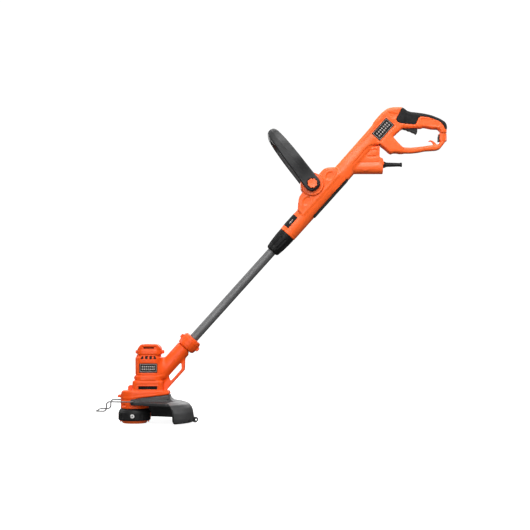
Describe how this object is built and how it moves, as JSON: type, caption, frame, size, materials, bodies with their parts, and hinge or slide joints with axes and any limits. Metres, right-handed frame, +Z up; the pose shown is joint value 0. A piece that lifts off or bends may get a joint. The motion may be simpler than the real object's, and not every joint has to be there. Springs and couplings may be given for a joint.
{
  "type": "string trimmer",
  "caption": "Corded string trimmer: spool head with guard and edge wire, telescoping tube, tilting bail handle and closed rear handle with trigger.",
  "frame": {"origin": "on the spool's spin axis, at the underside of the spool cap", "axes": "+Z up along the spool's spin axis, +X from the cutting head to the rear handle, -Y the user's left"},
  "size_m": [0.9753, 0.2823, 0.882],
  "materials": {
    "orange_plastic": "moulded ABS, satin to gloss",
    "button_plastic": "moulded ABS",
    "black_plastic": "moulded nylon, satin",
    "guard_plastic": "moulded polypropylene, satin",
    "bail_plastic": "moulded nylon, satin",
    "soft_rubber": "soft overmould",
    "cord_rubber": "smooth rubber",
    "trigger_plastic": "moulded nylon",
    "badge_plate": "plain inset plate",
    "tube_metal": "grey lacquered",
    "wire_steel": "drawn wire",
    "bright_steel": "turned",
    "screw_steel": "blackened",
    "bearing_steel": "ground",
    "motor_iron": "laminated",
    "copper": "plain",
    "gear_plastic": "acetal",
    "gear_steel": "hobbed",
    "switch_plastic": "moulded",
    "nylon_line": "nylon monofilament"
  },
  "bodies": {
    "upper_housing": {"housing_left": "orange_plastic", "housing_right": "orange_plastic", "soft_grip": "soft_rubber", "housing_screws": "screw_steel", "underside_pad": "soft_rubber", "lock_inlay": "black_plastic", "rear_badge": "badge_plate", "handle_clip": "black_plastic", "cord_gland": "cord_rubber", "cord_boot": "cord_rubber", "inlet_socket": "black_plastic", "inlet_pins": "copper", "supply_lead": "cord_rubber", "switch_body": "switch_plastic", "capacitor": "switch_plastic", "tube_collet": "gear_plastic", "trigger_pin": "bright_steel", "trigger_spring": "wire_steel", "bail_pivot_tube": "bright_steel", "bail_button_springs": "wire_steel"},
    "trigger": {"trigger": "trigger_plastic"},
    "switch_plunger": {"switch_plunger": "gear_plastic"},
    "bail": {"bail_handle": "bail_plastic"},
    "bail_button_left": {"bail_button_left": "button_plastic"},
    "bail_button_right": {"bail_button_right": "button_plastic"},
    "twist_collar": {"twist_collar": "black_plastic"},
    "lower_tube": {"lower_tube": "tube_metal", "tube_stop": "black_plastic", "collar_retainer": "bearing_steel", "collar_spring": "wire_steel"},
    "head_collar": {"head_collar": "orange_plastic"},
    "head": {"head_housing_left": "orange_plastic", "head_housing_right": "orange_plastic", "motor_top_cap": "orange_plastic", "gearbox_cover": "orange_plastic", "head_badge": "badge_plate", "head_screws": "screw_steel", "motor_stator": "motor_iron", "motor_bearings": "bearing_steel", "spool_bearings": "bearing_steel", "guard": "guard_plastic", "guard_screws": "screw_steel", "line_cutter": "bright_steel"},
    "motor_rotor": {"motor_armature": "motor_iron", "motor_fan": "black_plastic", "motor_pinion": "gear_steel", "motor_commutator": "copper", "motor_shaft": "bright_steel"},
    "spool_head": {"spool_drum": "black_plastic", "line_eyelets": "bright_steel", "feed_lever": "bright_steel", "spool_shaft": "bright_steel", "drive_gear": "gear_plastic", "spool_spring": "wire_steel"},
    "line_spool": {"line_spool": "gear_plastic", "line_winding": "nylon_line"},
    "spool_cap": {"spool_cap": "orange_plastic"},
    "release_tab_front": {"release_tab_front": "orange_plastic"},
    "release_tab_rear": {"release_tab_rear": "orange_plastic"},
    "edge_guide": {"edge_guide": "wire_steel"}
  },
  "joints": [
    {"name": "trigger_pull", "type": "hinge", "parent": "upper_housing", "child": "trigger", "pos_m": [0.75, 0, 0.8275], "axis": [0, -1, 0], "range_deg": [0, 8], "stiffness_Nm_per_rad": 2, "springref_deg": -5.73},
    {"name": "switch_press", "type": "slide", "parent": "upper_housing", "child": "switch_plunger", "axis": [0, 0, 1], "range_m": [0, 0.0034], "stiffness_N_per_m": 0.1, "springref_m": 0.0646},
    {"name": "bail_tilt", "type": "hinge", "parent": "upper_housing", "child": "bail", "pos_m": [0.49347, 0, 0.66359], "axis": [0, 1, 0], "range_deg": [-75, 60]},
    {"name": "bail_button_left_press", "type": "slide", "parent": "bail", "child": "bail_button_left", "axis": [0, 1, 0], "range_m": [0, 0.004], "stiffness_N_per_m": 800, "springref_m": -0.004, "deforming": ["bail_button_springs"]},
    {"name": "bail_button_right_press", "type": "slide", "parent": "bail", "child": "bail_button_right", "axis": [0, -1, 0], "range_m": [0, 0.004], "stiffness_N_per_m": 800, "springref_m": -0.004},
    {"name": "length_lock_turn", "type": "hinge", "parent": "upper_housing", "child": "twist_collar", "pos_m": [0.40317, 0, 0.5011], "axis": [0.6686, 0, 0.7436], "range_deg": [0, 75]},
    {"name": "tube_slide", "type": "slide", "parent": "upper_housing", "child": "lower_tube", "axis": [0.6686, 0, 0.7436], "range_m": [0, 0.18]},
    {"name": "head_release", "type": "slide", "parent": "lower_tube", "child": "head_collar", "axis": [0.6686, 0, 0.7436], "range_m": [0, 0.008], "stiffness_N_per_m": 600, "springref_m": -0.008, "deforming": ["collar_spring"]},
    {"name": "head_turn", "type": "hinge", "parent": "lower_tube", "child": "head", "pos_m": [0.1257, 0, 0.1925], "axis": [0.6686, 0, 0.7436], "range_deg": [0, 180]},
    {"name": "spool_spin", "type": "hinge", "parent": "head", "child": "spool_head", "pos_m": [0, 0, 0.05], "axis": [0, 0, 1], "continuous": true},
    {"name": "motor_spin", "type": "hinge", "parent": "head", "child": "motor_rotor", "pos_m": [0.039, 0, 0.15], "axis": [0, 0, 1], "continuous": true},
    {"name": "line_feed", "type": "hinge", "parent": "spool_head", "child": "line_spool", "pos_m": [0, 0, 0.02], "axis": [0, 0, 1], "continuous": true},
    {"name": "cap_removal", "type": "slide", "parent": "spool_head", "child": "spool_cap", "axis": [0, 0, -1], "range_m": [0, 0.04]},
    {"name": "release_tab_front_press", "type": "slide", "parent": "spool_cap", "child": "release_tab_front", "axis": [1, 0, 0], "range_m": [0, 0.002], "stiffness_N_per_m": 800, "springref_m": -0.002},
    {"name": "release_tab_rear_press", "type": "slide", "parent": "spool_cap", "child": "release_tab_rear", "axis": [-1, 0, 0], "range_m": [0, 0.002], "stiffness_N_per_m": 800, "springref_m": -0.002},
    {"name": "edge_guide_flip", "type": "hinge", "parent": "head", "child": "edge_guide", "pos_m": [0.0005, 0, 0.061], "axis": [0, 1, 0], "range_deg": [0, 75]}
  ],
  "couplings": [
    {"joint": "switch_press", "follows": "trigger_pull", "m_per_rad": 0.022},
    {"joint": "motor_spin", "follows": "spool_spin", "ratio": -2.4667}
  ]
}
